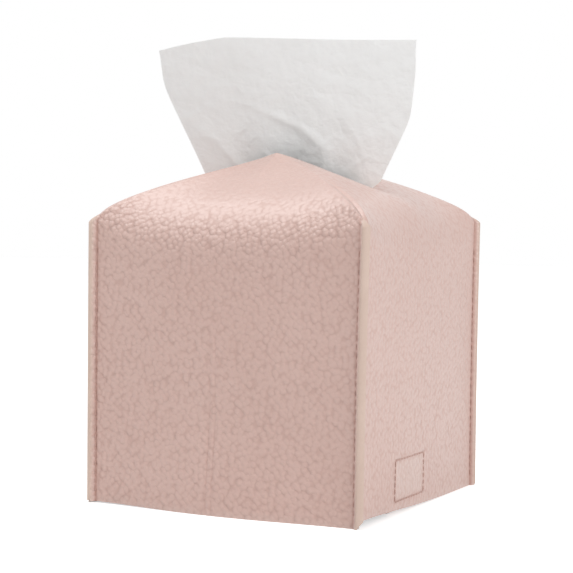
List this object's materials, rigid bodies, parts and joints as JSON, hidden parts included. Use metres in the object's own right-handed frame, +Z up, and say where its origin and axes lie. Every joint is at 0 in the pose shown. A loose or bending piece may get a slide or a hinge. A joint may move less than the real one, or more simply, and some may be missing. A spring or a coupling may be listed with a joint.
{
  "type": "tissue box cover",
  "caption": "Soft cube cover for a carton of facial tissues, with a tented slit top, pinched corner seams and a lapped belt across the open base.",
  "frame": {"origin": "middle of the base, on the surface that the cover stands on", "axes": "+Z up, X along the slit in the roof, front wall faces -Y"},
  "size_m": [0.1296, 0.1296, 0.202],
  "materials": {
    "pebbled_leather": "pebbled, soft sheen",
    "lining_fabric": "matte suede-like lining",
    "edge_paint": "smooth painted edge",
    "belt_leather": "pebbled, soft sheen",
    "sewing_thread": "matte thread",
    "fastening_tape": "hook and loop tape",
    "tissue_paper": "thin soft paper"
  },
  "bodies": {
    "cover": {"outer_leather": "pebbled_leather", "lining": "lining_fabric", "opening_edging": "edge_paint", "corner_edging_front_right": "edge_paint", "corner_edging_back_right": "edge_paint", "corner_edging_back_left": "edge_paint", "corner_edging_front_left": "edge_paint", "corner_stitching_front_right": "sewing_thread", "corner_stitching_back_right": "sewing_thread", "corner_stitching_back_left": "sewing_thread", "corner_stitching_front_left": "sewing_thread", "belt_tab_right": "belt_leather", "belt_tab_left": "belt_leather", "box_stitching_right": "sewing_thread", "box_stitching_left": "sewing_thread"},
    "outer_belt": {"belt_outer_half": "belt_leather", "loop_tape": "fastening_tape"},
    "inner_belt": {"belt_inner_half": "belt_leather", "hook_tape": "fastening_tape"},
    "pulled_tissue": {"tissue": "tissue_paper"}
  },
  "joints": [
    {"name": "outer_belt_fold", "type": "hinge", "parent": "cover", "child": "outer_belt", "pos_m": [0.0575, -0.013, 0.0011], "axis": [0, -1, 0], "range_deg": [0, 90]},
    {"name": "inner_belt_fold", "type": "hinge", "parent": "cover", "child": "inner_belt", "pos_m": [-0.0575, -0.013, 0.0043], "axis": [0, -1, 0], "range_deg": [0, 80]},
    {"name": "tissue_pull", "type": "slide", "parent": "cover", "child": "pulled_tissue", "axis": [0, 0, 1], "range_m": [0, 0.03]}
  ]
}
